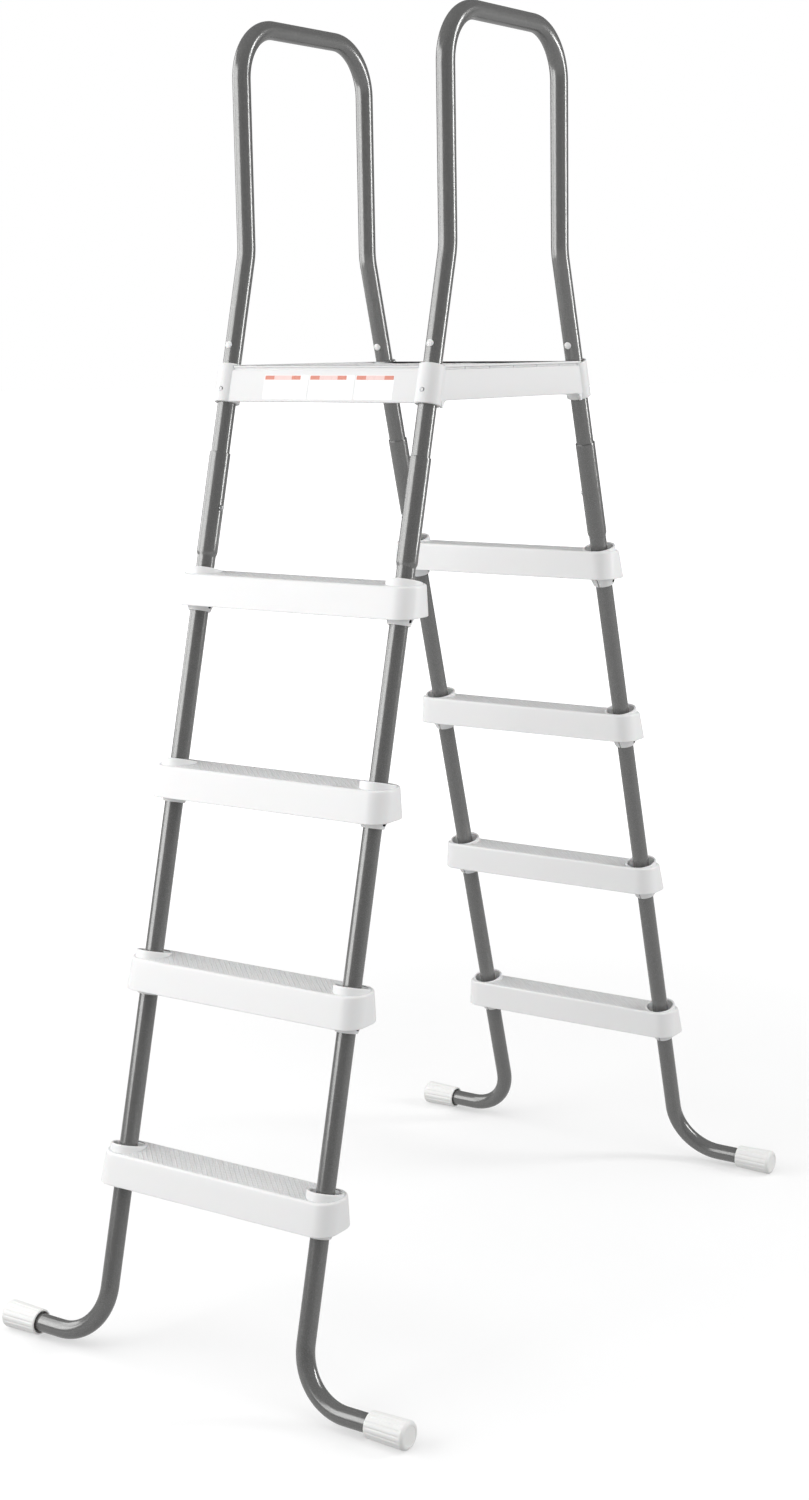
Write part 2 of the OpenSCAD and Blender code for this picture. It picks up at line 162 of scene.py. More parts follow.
def round_corners(pts, radii, n=4):
    """A closed 2D polygon with each corner rounded by its own radius."""
    out = []
    k = len(pts)
    for i in range(k):
        p = Vector(pts[i])
        r = radii[i] if isinstance(radii, (list, tuple)) else radii
        a = (Vector(pts[i - 1]) - p)
        b = (Vector(pts[(i + 1) % k]) - p)
        if r <= 0:
            out.append(tuple(p))
            continue
        ang = a.angle(b)
        cut = min(r / math.tan(ang / 2), a.length * 0.49, b.length * 0.49)
        r = cut * math.tan(ang / 2)
        a.normalize()
        b.normalize()
        centre = p + (a + b).normalized() * (r / SIN(ang / 2))
        start = p + a * cut - centre
        end = p + b * cut - centre
        turn = start.angle_signed(end)
        for j in range(n + 1):
            t = -turn * j / n
            out.append((centre.x + start.x * COS(t) - start.y * SIN(t),
                        centre.y + start.x * SIN(t) + start.y * COS(t)))
    return out


def lathe(profile, segs=64, a0=0.0, a1=2 * PI, wave=None):
    """A closed profile of (radius, height) turned about Z, all the way or from a0 to a1."""
    full = abs(a1 - a0 - 2 * PI) < 1e-9
    count = segs if full else segs + 1
    verts = []
    for i in range(count):
        t = a0 + (a1 - a0) * i / segs
        for r, z in profile:
            q = r * (wave(t, r, z) if wave else 1)
            verts.append((q * COS(t), q * SIN(t), z))
    k = len(profile)
    faces = []
    for i in range(segs):
        j = (i + 1) % count
        for a in range(k):
            b = (a + 1) % k
            if profile[a][0] < 1e-6 and profile[b][0] < 1e-6:
                continue
            faces.append((i * k + a, j * k + a, j * k + b, i * k + b))
    if not full:
        faces.append(tuple(range(k)))
        faces.append(tuple(segs * k + a for a in reversed(range(k))))
    return verts, faces


def sweep(path, radii, bores, segs=56, depth=60):
    """A tube along a path of points, with a radius at each and a hollow of its own radius in each end."""
    pts = [Vector(p) for p in path]
    final = len(pts) - 1
    tangents = [(pts[min(i + 1, final)] - pts[max(i - 1, 0)]).normalized() for i in range(len(pts))]
    side = tangents[0].orthogonal().normalized()
    rings = []
    for p, t, r in zip(pts, tangents, radii):
        side = (side - t * side.dot(t)).normalized()
        rings.append((p, side, t.cross(side), r))

    def end_rings(ring, inward, bore):
        """From the hollow's floor round the cut edge to the outside."""
        p, s, u, r = ring
        return [(p + inward * depth, s, u, bore),
                (p, s, u, bore),
                (p, s, u, r - TUBE_EDGE),
                (p + inward * TUBE_EDGE * 0.3, s, u, r - TUBE_EDGE * 0.3),
                (p + inward * TUBE_EDGE, s, u, r)]

    def circle(p, s, u, r):
        turns = [2 * PI * i / segs for i in range(segs)]
        return [tuple(p + s * (r * COS(t)) + u * (r * SIN(t))) for t in turns]

    all_rings = end_rings(rings[0], tangents[0], bores[0]) + rings[1:-1]
    all_rings += reversed(end_rings(rings[-1], -tangents[-1], bores[1]))
    verts, faces = loft([circle(*ring) for ring in all_rings])
    faces.append(tuple(reversed(range(segs))))
    faces.append(tuple((len(all_rings) - 1) * segs + i for i in range(segs)))
    return verts, faces


def arc(centre, start, axis, angle, n):
    """Points from start turned about an axis through centre, ends included."""
    c = Vector(centre)
    d = Vector(start) - c
    return [tuple(c + Matrix.Rotation(angle * i / n, 3, Vector(axis)) @ d) for i in range(n + 1)]


def line(a, b, n):
    return [tuple(Vector(a).lerp(Vector(b), i / n)) for i in range(n + 1)]


def chain(*runs):
    out = []
    for run in runs:
        for p in run:
            if not out or (Vector(p) - Vector(out[-1])).length > 0.05:
                out.append(p)
    return out


def fill(loops):
    """Triangles over a flat region: the first loop is its outline, the others are holes."""
    bm = bmesh.new()
    edges = []
    for loop in loops:
        vs = [bm.verts.new(p) for p in loop]
        for i in range(len(vs)):
            edges.append(bm.edges.new((vs[i], vs[(i + 1) % len(vs)])))
    bmesh.ops.triangle_fill(bm, use_beauty=True, use_dissolve=False, edges=edges)
    bm.verts.index_update()
    verts = [tuple(v.co) for v in bm.verts]
    faces = [tuple(v.index for v in f.verts) for f in bm.faces]
    bm.free()
    return verts, faces


def loft(loops):
    """Faces between closed loops of as many points each, one after the other."""
    n = len(loops[0])
    verts = [p for loop in loops for p in loop]
    faces = []
    for k in range(len(loops) - 1):
        for i in range(n):
            j = (i + 1) % n
            faces.append((k * n + i, k * n + j, (k + 1) * n + j, (k + 1) * n + i))
    return verts, faces


def slab(lo, hi):
    (x0, y0, z0), (x1, y1, z1) = lo, hi
    v = [(x0, y0, z0), (x1, y0, z0), (x1, y1, z0), (x0, y1, z0),
         (x0, y0, z1), (x1, y0, z1), (x1, y1, z1), (x0, y1, z1)]
    f = [(0, 3, 2, 1), (4, 5, 6, 7), (0, 1, 5, 4), (1, 2, 6, 5), (2, 3, 7, 6), (3, 0, 4, 7)]
    return v, f


def prism_faces(n, back=True):
    """Faces of a prism whose ends have n points each; the first end may stay open."""
    faces = [(i, (i + 1) % n, n + (i + 1) % n, n + i) for i in range(n)]
    if back:
        faces.append(tuple(reversed(range(n))))
    return faces + [tuple(range(n, 2 * n))]


def bar(profile, a, b):
    """A closed 2D profile of (y, z) run along X from a to b."""
    return [(x, y, z) for x in (a, b) for y, z in profile], prism_faces(len(profile))


# ---------------------------------------------------------------- materials
class Nodes:
    """Short hand for a material's node tree."""

    def __init__(self, name):
        self.mat = bpy.data.materials.new(name)
        self.mat.use_nodes = True
        self.t = self.mat.node_tree
        self.t.nodes.clear()
        self.out = self.t.nodes.new("ShaderNodeOutputMaterial")
        self.bsdf = self.t.nodes.new("ShaderNodeBsdfPrincipled")
        self.t.links.new(self.bsdf.outputs[0], self.out.inputs[0])

    def new(self, kind, **inputs):
        n = self.t.nodes.new(kind)
        for k, v in inputs.items():
            self.put(n.inputs[k.replace("_", " ")], v)
        return n

    def put(self, socket, v):
        if isinstance(v, bpy.types.NodeSocket):
            self.t.links.new(v, socket)
        else:
            socket.default_value = v

    def set(self, **inputs):
        for k, v in inputs.items():
            self.put(self.bsdf.inputs[k.replace("_", " ")], v)
        return self

    def math(self, op, a, b=0.0, c=0.0, clamp=False):
        n = self.t.nodes.new("ShaderNodeMath")
        n.operation = op
        n.use_clamp = clamp
        for i, v in enumerate((a, b, c)):
            self.put(n.inputs[i], v)
        return n.outputs[0]

    def ramp(self, fac, lo, hi, a=(0, 0, 0, 1), b=(1, 1, 1, 1)):
        n = self.t.nodes.new("ShaderNodeValToRGB")
        n.color_ramp.elements[0].position = lo
        n.color_ramp.elements[1].position = hi
        n.color_ramp.elements[0].color = a
        n.color_ramp.elements[1].color = b
        self.put(n.inputs[0], fac)
        return n.outputs[0]

    def coords(self):
        return self.t.nodes.new("ShaderNodeTexCoord").outputs["Object"]

    def noise(self, scale, detail=3.0, rough=0.5, coords=None):
        n = self.t.nodes.new("ShaderNodeTexNoise")
        n.inputs["Scale"].default_value = scale
        n.inputs["Detail"].default_value = detail
        n.inputs["Roughness"].default_value = rough
        self.t.links.new(coords or self.coords(), n.inputs["Vector"])
        return n.outputs["Fac"]

    def span(self, fac, lo, hi):
        n = self.t.nodes.new("ShaderNodeMapRange")
        n.inputs["To Min"].default_value = lo
        n.inputs["To Max"].default_value = hi
        self.put(n.inputs["Value"], fac)
        return n.outputs[0]

    def mix(self, fac, a, b):
        n = self.t.nodes.new("ShaderNodeMix")
        n.data_type = "RGBA"
        self.put(n.inputs["Factor"], fac)
        self.put(n.inputs["A"], a)
        self.put(n.inputs["B"], b)
        return n.outputs["Result"]

    def bump(self, height, strength, distance, normal=None):
        n = self.t.nodes.new("ShaderNodeBump")
        n.inputs["Strength"].default_value = strength
        n.inputs["Distance"].default_value = distance
        self.put(n.inputs["Height"], height)
        if normal is not None:
            self.put(n.inputs["Normal"], normal)
        return n.outputs["Normal"]


def paint():
    """Semi-gloss grey powder paint on steel tube."""
    n = Nodes("grey_paint")
    cloud = n.noise(9, 4, 0.6)
    fleck = n.noise(900, 2, 0.7)
    peel = n.noise(420, 2, 0.5)
    base = n.mix(cloud, (0.165, 0.165, 0.162, 1), (0.200, 0.200, 0.197, 1))
    base = n.mix(n.ramp(fleck, 0.45, 0.72), base, (0.28, 0.28, 0.277, 1))
    n.set(Base_Color=base, Metallic=0.46, Roughness=n.span(n.noise(60, 4, 0.6), 0.20, 0.29),
          Coat_Weight=0.75, Coat_Roughness=0.12,
          Normal=n.bump(peel, 0.10, 0.0004))
    return n.mat


def tread_height(n, coords, inset_fac):
    """Cross-hatched anti-slip ribs, as a height from 0 to 1."""
    half_width = 0.15
    steepness = 9.0
    sep = n.new("ShaderNodeSeparateXYZ", Vector=coords)
    x, y = sep.outputs[0], sep.outputs[1]
    pitch = 0.0085
    d1 = n.math("DIVIDE", n.math("ADD", x, y), pitch)
    d2 = n.math("DIVIDE", n.math("SUBTRACT", x, y), pitch)

    def ridge(v):
        tri = n.math("PINGPONG", v, 0.5)
        return n.math("MULTIPLY", n.math("SUBTRACT", half_width, tri), steepness, clamp=True)

    h = n.math("MAXIMUM", ridge(d1), ridge(d2))
    return n.math("MULTIPLY", h, inset_fac)


def plastic(name, colour, colour2, rough=(0.34, 0.46), tread=0.0, bevel=0.0009, specular=0.5):
    """Moulded plastic with a fine grain and, on a tread, anti-slip ribs on its top with painted shade in their
    grooves.
    """
    n = Nodes(name)
    co = n.coords()
    cloud = n.noise(5, 3, 0.5, co)
    grain = n.noise(1400, 2, 0.6, co)
    flow = n.noise(26, 3, 0.55, co)
    base = n.mix(cloud, colour, colour2)
    edge = n.new("ShaderNodeBevel", Radius=bevel)
    edge.samples = 6
    normal = n.bump(grain, 0.08, 0.0003, edge.outputs[0])
    if tread:
        level_from, level_gain = 0.97, 60.0
        # painted shade: grey mixed into the grooves between the ribs on top faces
        groove_shade_amount = 0.26 * tread
        geo = n.t.nodes.new("ShaderNodeNewGeometry")
        up = n.new("ShaderNodeSeparateXYZ", Vector=geo.outputs["Normal"]).outputs[2]
        top = n.math("MULTIPLY", n.math("SUBTRACT", up, level_from), level_gain, clamp=True)
        ribs = tread_height(n, co, top)
        normal = n.bump(ribs, tread, 0.0011, normal)
        painted_groove_shade = n.math("MULTIPLY", n.math("SUBTRACT", 1.0, ribs), n.math("MULTIPLY", top, groove_shade_amount))
        base = n.mix(painted_groove_shade, base, (0.46, 0.465, 0.47, 1))
    n.set(Base_Color=base, Roughness=n.span(flow, *rough), IOR=1.49, Specular_IOR_Level=specular,
          Subsurface_Weight=0.04, Subsurface_Scale=0.004, Normal=normal)
    return n.mat


def steel(name, colour, rough, scale=300):
    """Bare or plated metal with a blotched colour and a fine bump."""
    n = Nodes(name)
    co = n.coords()
    blotch = n.noise(scale, 4, 0.65, co)
    base = n.mix(blotch, colour, tuple(c * 0.78 for c in colour[:3]) + (1,))
    n.set(Base_Color=base, Metallic=1.0, Roughness=n.span(n.noise(scale * 3, 3, 0.6, co), *rough),
          Normal=n.bump(n.noise(scale * 6, 2, 0.5, co), 0.12, 0.0002))
    return n.mat


def film(name, colour, colour2):
    """Printed film of a label."""
    n = Nodes(name)
    co = n.coords()
    n.set(Base_Color=n.mix(n.noise(240, 3, 0.6, co), colour, colour2),
          Roughness=n.span(n.noise(80, 2, 0.5, co), 0.22, 0.34),
          Normal=n.bump(n.noise(500, 2, 0.5, co), 0.06, 0.0002))
    return n.mat


PAINT = paint()
WHITE = plastic("white_moulding", (0.79, 0.79, 0.79, 1), (0.82, 0.82, 0.82, 1), tread=0.9)
WHITE_DECK = plastic("white_deck", (0.75, 0.75, 0.75, 1), (0.78, 0.78, 0.78, 1), tread=0.25,
                     specular=0.25)
WHITE_TRIM = plastic("white_trim", (0.79, 0.79, 0.79, 1), (0.82, 0.82, 0.82, 1), bevel=0.0005)
CAP = plastic("cap_moulding", (0.80, 0.80, 0.79, 1), (0.84, 0.84, 0.83, 1), rough=(0.38, 0.5),
              bevel=0.0005)
ZINC = steel("zinc_plate", (0.62, 0.63, 0.64, 1), (0.22, 0.38))
BLACK = steel("black_oxide", (0.035, 0.035, 0.037, 1), (0.35, 0.5))
FILM = film("label_film", (0.89, 0.89, 0.885, 1), (0.87, 0.87, 0.865, 1))
BAR_RED = film("label_bar", (0.66, 0.21, 0.14, 1), (0.60, 0.19, 0.13, 1))
BAR_PALE = film("label_bar_pale", (0.80, 0.58, 0.55, 1), (0.76, 0.54, 0.51, 1))

# ---------------------------------------------------------------- handrails
def rail_half(sx, sy):
    """From the top's middle down to the end in the socket."""
    x = sx * GAP_X / 2
    rail_y = GAP_Y / 2 - KNEE_RISE * math.tan(LEAN)
    knee_z = DECK_H + KNEE_RISE + KNEE_R * math.tan(LEAN / 2)
    top_z = RAIL_TOP - TUBE_R
    bend_y = sy * (rail_y - RAIL_CORNER_R)
    end = leaning(sx, sy)((0, 0, -(along(SOCKET_DROP) + SOCKET_LEN - RAIL_SHORT)))
    knee = arc((x, sy * (rail_y + KNEE_R), knee_z), (x, sy * rail_y, knee_z), (1, 0, 0), sy * LEAN, 10)
    corner = arc((x, bend_y, top_z - RAIL_CORNER_R), (x, bend_y, top_z), (1, 0, 0), -sy * PI / 2, 28)
    return chain(line((x, 0, top_z), corner[0], 6), corner,
                 line(corner[-1], knee[0], 10), knee, line(knee[-1], end, 24))


for side, sx in (("left", -1), ("right", 1)):
    path = list(reversed(rail_half(sx, -1))) + rail_half(sx, 1)[1:]
    b = Build()
    b.add(*sweep(path, [TUBE_R] * len(path), (BORE_R, BORE_R)))
    b.make("handrail_" + side, [PAINT], stands_for=["rail_" + side])

# ---------------------------------------------------------------- legs and foot caps
LEG_END = (DECK_H - FOOT_H) / COS(LEAN)


def leg_path():
    """Points and radii down a leg, from its socket's mouth to the end of its foot."""
    top = -along(SOCKET_DROP)
    swage = top - SOCKET_LEN
    bend = -LEG_END + FOOT_BEND_R
    pts = [(0, 0, top), (0, 0, top - 2)] + line((0, 0, top - 2), (0, 0, swage), 8)[1:]
    radii = [SOCKET_R] * len(pts)
    for t in (0.15, 0.35, 0.65, 0.85, 1.0):
        pts.append((0, 0, swage - SWAGE_LEN * t))
        ease = t * t * (3 - 2 * t)
        radii.append(SOCKET_R + (TUBE_R - SOCKET_R) * ease)
    run = line((0, 0, swage - SWAGE_LEN - 0.5), (0, 0, bend), 20)
    run += arc((FOOT_BEND_R, 0, bend), (0, 0, bend), (0, 1, 0), -PI / 2, 24)[1:]
    run += line((FOOT_BEND_R, 0, -LEG_END), (FOOT_REACH - FOOT_SHORT, 0, -LEG_END), 5)[1:]
    return pts + run, radii + [TUBE_R] * len(run)


def flutes(t, r, z):
    """Lengthwise flutes in a foot cap's side, dying out towards its ends."""
    count, deepest, inside_r = 16, 0.045, 14.5
    if r < inside_r:
        return 1.0
    depth = deepest * min(1.0, max(0.0, (z - 4) / 4)) * min(1.0, max(0.0, (58.5 - z) / 3))
    return 1.0 - depth * max(0.0, COS(count * t)) ** 2


def cap_profile():
    """A foot cap's section: its closed end at height 0, its mouth at its length."""
    r_out, r_mouth, length = 19.0, 17.6, 60.0
    side = [(r_out - (r_out - r_mouth) * max(0, z - 5) / (length - 5), z)
            for z in (5.5, 6.5, 8, 10, 20, 30, 40, 50, 54, 56, 57.5, 58.6)]
    edge = [(r_out - 5 + 5 * SIN(a), 5 - 5 * COS(a)) for a in [PI / 2 * k / 7 for k in range(8)]]
    disc = [(0, 0.6), (r_out - 6.5, 0.6), (r_out - 6.0, 0.1)]
    mouth = [(r_mouth - 0.4, 59.6), (r_mouth - 1.2, 60), (15.4, 60), (15.0, 59.6), (14.6, 52), (12.6, 52),
             (12.55, 9), (0, 9)]
    return disc + edge + side + mouth


for fb, sy in (("front", -1), ("back", 1)):
    for side, sx in (("left", -1), ("right", 1)):
        place = leaning(sx, sy)
        pts, radii = leg_path()
        b = Build()
        verts, faces = sweep(pts, radii, (SOCKET_BORE_R, BORE_R))
        b.add(verts, faces, place)
        b.make(f"leg_tube_{fb}_{side}", [PAINT], stands_for=[f"leg_{fb}_{side}"])

        b = Build()
        verts, faces = lathe(cap_profile(), segs=128, wave=flutes)

        def on_foot(p, place=place):
            return place((FOOT_REACH - p[2], p[1], p[0] - LEG_END))
        b.add(verts, faces, on_foot)
        b.make(f"fluted_cap_{fb}_{side}", [CAP], stands_for=[f"foot_cap_{fb}_{side}"])

# ---------------------------------------------------------------- steps
WALL = 3.0
HUB_R = 24.5
MOUTH_R = 20.5
SEAT_R = 18.3
PLATE = 3.5                                                 # from a step's top to its hollow
RIB_LOW, RIB_TOP = -27.5, -3.4
SCREW_OUT, SCREW_DROP = 16.6, 52.6                          # a screw head's place on its sleeve


def step_loop(z, inset, corner_n=9):
    """Outline of a step's body at depth z below its top, drawn in by inset, in the step's own frame."""
    draft = 0.05 * (-z)
    a = STEP_LEN / 2 - inset - 2.0 + min(draft, 2.0)
    y0 = -STEP_DEPTH / 2 + inset
    y1 = STEP_DEPTH / 2 - z * math.tan(LEAN) - inset / COS(LEAN)
    r = 25.0 - inset
    corners = [(a - r, y0 + r, -PI / 2), (a - r, y1 - r, 0), (-a + r, y1 - r, PI / 2), (-a + r, y0 + r, PI)]
    loop = []
    for k, (cx, cy, t0) in enumerate(corners):
        for i in range(corner_n + 1):
            t = t0 + PI / 2 * i / corner_n
            loop.append((cx + r * COS(t), cy + r * SIN(t), z))
        nx, ny, nt = corners[(k + 1) % 4]
        start = (cx + r * COS(t0 + PI / 2), cy + r * SIN(t0 + PI / 2), z)
        end = (nx + r * COS(nt), ny + r * SIN(nt), z)
        count = 12 if k % 2 else 2
        loop += [tuple(Vector(start).lerp(Vector(end), j / count)) for j in range(1, count)]
    return loop


def hub_hole(sx, z, r, n=48):
    """Where a leaning round of that radius passes a level plane of the step's frame."""
    loop = []
    for i in range(n):
        t = 2 * PI * i / n
        loop.append((sx * GAP_X / 2 + r * COS(t), r * SIN(t) / COS(LEAN) - z * math.tan(LEAN), z))
    return loop


def hub_profile():
    return round_corners([(HUB_R, -42), (HUB_R, 0), (MOUTH_R, 0), (MOUTH_R, -22), (SEAT_R, -22), (SEAT_R, -41)],
                         [0.6, 1.5, 1.5, 1.0, 0.4, 0.4], 4)


def step_build(b, place):
    """A step's tray: its shell open below, a long rib and seven cross ribs."""
    edge_r = 3.0
    outer = [step_loop(-STEP_H, 0.7), step_loop(-STEP_H + 0.7, 0.0)]
    outer += [step_loop(z, 0.0) for z in (-34, -24, -14, -8)]
    for k in range(7):
        t = PI / 2 * k / 6
        outer.append(step_loop(-(edge_r - edge_r * SIN(t)), edge_r - edge_r * COS(t)))
    b.add(*loft(outer), place)
    b.add(*fill([outer[-1]] + [hub_hole(sx, 0.0, HUB_R - 1.2) for sx in (-1, 1)]), place)
    inner = [step_loop(-STEP_H, WALL - 0.6), step_loop(-STEP_H + 0.6, WALL)]
    inner += [step_loop(z, WALL) for z in (-30, -18, -8, -PLATE)]
    b.add(*loft([outer[0], inner[0]]), place)
    b.add(*loft(inner), place)
    b.add(*fill([inner[-1]] + [hub_hole(sx, -PLATE, HUB_R - 1.2) for sx in (-1, 1)]), place)
    half = GAP_X / 2 - HUB_R + 2
    b.add(*slab((-half, 4.5, RIB_LOW), (half, 4.5 + 2 * RIB_HALF, RIB_TOP)), place)
    reach = STEP_DEPTH / 2 - WALL + 0.5
    for n in range(1, 8):
        x = (n - 4) * (GAP_X - 2 * HUB_R) / 8
        v, f = slab((x - RIB_HALF, -reach, RIB_LOW), (x + RIB_HALF, reach, RIB_TOP))
        v = [(px, py + (-pz * math.tan(LEAN) if py > 0 else 0), pz) for px, py, pz in v]
        b.add(v, f, place)


def step_frame(sy, i):
    y0, z0 = tube_y(step_top(i)), step_top(i)
    return lambda p: (p[0], sy * (y0 + p[1]), z0 + p[2])


def ring_frame(sx, sy, i):
    """The leaning tube's frame with Z = 0 at the top of a step's ring."""
    place = leaning(sx, sy)
    shift = -along(DECK_H - step_top(i)) + RING_RISE
    return lambda p: place((p[0], p[1], p[2] + shift))


def sleeve_profile():
    return round_corners([(12.6, -59.4), (15.0, -59.4), (20.8, -41.6), (18.0, -41.0), (18.0, -22.3),
                          (12.6, -22.3)], [0.3, 0.9, 0.8, 0.3, 0.8, 0.5], 3)


SLIT = 1.0 / 14.0                                           # half the angle of a sleeve's slit


for fb, sy in (("front", -1), ("back", 1)):
    heads = Build()
    for i in range(1, 5):
        b = Build()
        step_build(b, step_frame(sy, i))
        for sx in (-1, 1):
            b.add(*lathe(hub_profile(), 72), ring_frame(sx, sy, i))
        b.make(f"moulded_step_{fb}_{i}", [WHITE], stands_for=[f"step_{fb}_{i}"])
        b = Build()
        for sx in (-1, 1):
            v, f = lathe(sleeve_profile(), 60, -PI / 2 + SLIT, 3 * PI / 2 - SLIT)
            b.add(v, f, ring_frame(sx, sy, i))
            head = round_corners([(0, 0), (2.5, 0), (2.5, 1.0), (1.2, 1.7), (0, 1.7)], [0, 0.2, 0.5, 0.3, 0], 3)

            def on_side(p, ring=ring_frame(sx, sy, i), sx=sx):
                return ring((sx * (SCREW_OUT + p[2]), p[1], p[0] - SCREW_DROP))
            heads.add(*lathe(head, 28), on_side)
            for w, h in ((0.45, 1.5), (1.5, 0.45)):
                heads.add(*slab((-w, -h, 1.3), (w, h, 1.78)), on_side, mat=1)
        b.make(f"split_sleeves_{fb}_{i}", [WHITE_TRIM], stands_for=[f"sleeves_{fb}_{i}"])
    heads.make(f"screw_heads_{fb}", [BLACK, BLACK], stands_for=[f"sleeve_screws_{fb}"])

# ---------------------------------------------------------------- platform
b = Build()
LIP, GROOVE = 3.0, 3.0
MOUTH = 15.2                                                # radius of the wide mouth of a collar
MOUTH_DEPTH = 5.0
COLLAR_BORE_R = 12.75
BOLT_DROP = 35.0
DECK_EDGE_R = 1.4
RIB_BOTTOM, RIB_HEAD = DECK_H - 27, DECK_H - 2
DECK_END = GAP_Y / 2 + 12.5
END_DROP = (LIP + GROOVE + 12.5 * SIN(LEAN)) / COS(LEAN)    # the groove's low edge in the leaning end's frame


def deck_loop(z, inset):
    """The deck's outline, meant to leave the collars' mouths open.

    Known fault: fill() leaves most of the deck's top and underside empty. The likely cause is that each arc
    starts outside the deck's edge, so the outline crosses itself.
    """
    hx, hy = SIDE_X - inset, DECK_END - inset
    cx, cy, r = GAP_X / 2, GAP_Y / 2, MOUTH + 0.2 + inset
    reach = math.acos(min(1.0, (hx - cx) / r))
    corner = [(cx, hy)]
    for i in range(25):
        t = PI / 2 + (1.5 * PI - reach) * i / 24
        corner.append((cx + r * COS(t), cy + r * SIN(t)))
    corner.append((hx, corner[-1][1]))
    back = list(reversed(corner))
    half = [(x, -y) for x, y in corner] + back
    return [(x, y, z) for x, y in half + [(-x, -y) for x, y in half]]


deck = []
for k in range(6):
    t = PI / 2 * k / 5
    deck.append(deck_loop(DECK_H - DECK_EDGE_R + DECK_EDGE_R * SIN(t), DECK_EDGE_R - DECK_EDGE_R * COS(t)))
deck = [deck_loop(DECK_H - LIP, 0.5), deck_loop(DECK_H - LIP + 0.5, 0.0)] + deck
b.add(*loft(deck))
b.add(*fill([deck[-1]]))
b.add(*fill([deck[0]]))


def end_place(sy):
    """Maps points of a leaning end's plane, whose Y points outward, to the row frame."""
    def place(p):
        return (p[0], sy * (GAP_Y / 2 + p[1] * COS(LEAN) - p[2] * SIN(LEAN)),
                DECK_H + p[1] * SIN(LEAN) + p[2] * COS(LEAN))
    return place


for sy in (-1, 1):
    apron = round_corners([(9.5, -END_DROP), (9.5, -APRON_H), (12.5, -APRON_H), (12.5, -END_DROP)],
                          [0, 0.9, 1.2, 0.9], 4)
    b.add(*bar(apron, -GAP_X / 2, GAP_X / 2), end_place(sy))
    b.add(*bar([(7.0, -12), (7.0, -3.6), (10.0, -3.6), (10.0, -12)], -GAP_X / 2, GAP_X / 2), end_place(sy))
for sx in (-1, 1):
    def side_place(p, sx=sx):
        return (sx * p[1], p[0], DECK_H + p[2])
    face = SIDE_X - 1.5
    apron = round_corners([(face - 3, -LIP - GROOVE), (face - 3, -SIDE_APRON_H), (face, -SIDE_APRON_H),
                           (face, -LIP - GROOVE)], [0, 0.9, 1.2, 0.9], 4)
    b.add(*bar(apron, -GAP_Y / 2 - 4, GAP_Y / 2 + 4), side_place)
    b.add(*bar([(face - 5.5, -8), (face - 5.5, -1.5), (face - 2.5, -1.5), (face - 2.5, -8)],
               -GAP_Y / 2, GAP_Y / 2), side_place)
    for sy in (-1, 1):
        # the apron's lower edge sweeps down into the collar
        root = GAP_Y / 2 - 4.2
        sweep_r = 9.5
        edge = [(root + 4, -SIDE_APRON_H + 2), (root - sweep_r, -SIDE_APRON_H + 2)]
        edge += [(root - sweep_r + sweep_r * SIN(t), -SIDE_APRON_H - sweep_r + sweep_r * COS(t))
                 for t in [PI / 2 * k / 8 for k in range(9)]]
        edge += [(root + 4, -SIDE_APRON_H - sweep_r)]
        v = [(sx * q, sy * y, DECK_H + z) for q in (face - 3, face - 0.4) for y, z in edge]
        b.add(v, prism_faces(len(edge)))
for n in (-1, 0, 1):
    x = n * GAP_X / 4
    b.add(*slab((x - RIB_HALF, -GAP_Y / 2 - 8, RIB_BOTTOM), (x + RIB_HALF, GAP_Y / 2 + 8, RIB_HEAD)))
for n in (-2, -1, 0, 1, 2):
    y = n * GAP_Y / 6
    b.add(*slab((-SIDE_X + 3, y - RIB_HALF, RIB_BOTTOM), (SIDE_X - 3, y + RIB_HALF, RIB_HEAD)))
collar = round_corners([(COLLAR_BORE_R, -COLLAR_H), (COLLAR_R, -COLLAR_H), (COLLAR_R, 0), (MOUTH, 0),
                        (MOUTH, -MOUTH_DEPTH), (COLLAR_BORE_R, -MOUTH_DEPTH)],
                       [0.5, 1.2, 1.5, 0.6, 0.5, 0.5], 5)
for sx in (-1, 1):
    for sy in (-1, 1):
        b.add(*lathe(collar, 72), leaning(sx, sy))
b.make("moulded_platform", [WHITE_DECK], stands_for=["platform"])

# bolts: domed heads with a round recess, one on each collar
b = Build()
for sx in (-1, 1):
    for sy in (-1, 1):
        place = leaning(sx, sy, BOLT_DROP)

        def on_bolt(p, place=place):
            return place((p[0], p[2], -p[1]))
        head = round_corners([(0, 15.0), (4.6, 15.0), (4.6, 16.6), (2.4, 18.0), (1.9, 18.0), (1.9, 16.9),
                              (0, 16.9)], [0, 0.2, 0.9, 0.3, 0.2, 0.1, 0], 3)
        b.add(*lathe(head, 36), on_bolt)
        b.add(*lathe([(0, -24), (2.6, -24), (3.0, -23.4), (3.0, 15.2), (0, 15.2)], 32), on_bolt)
b.make("collar_bolts", [ZINC], stands_for=["platform_bolts"])

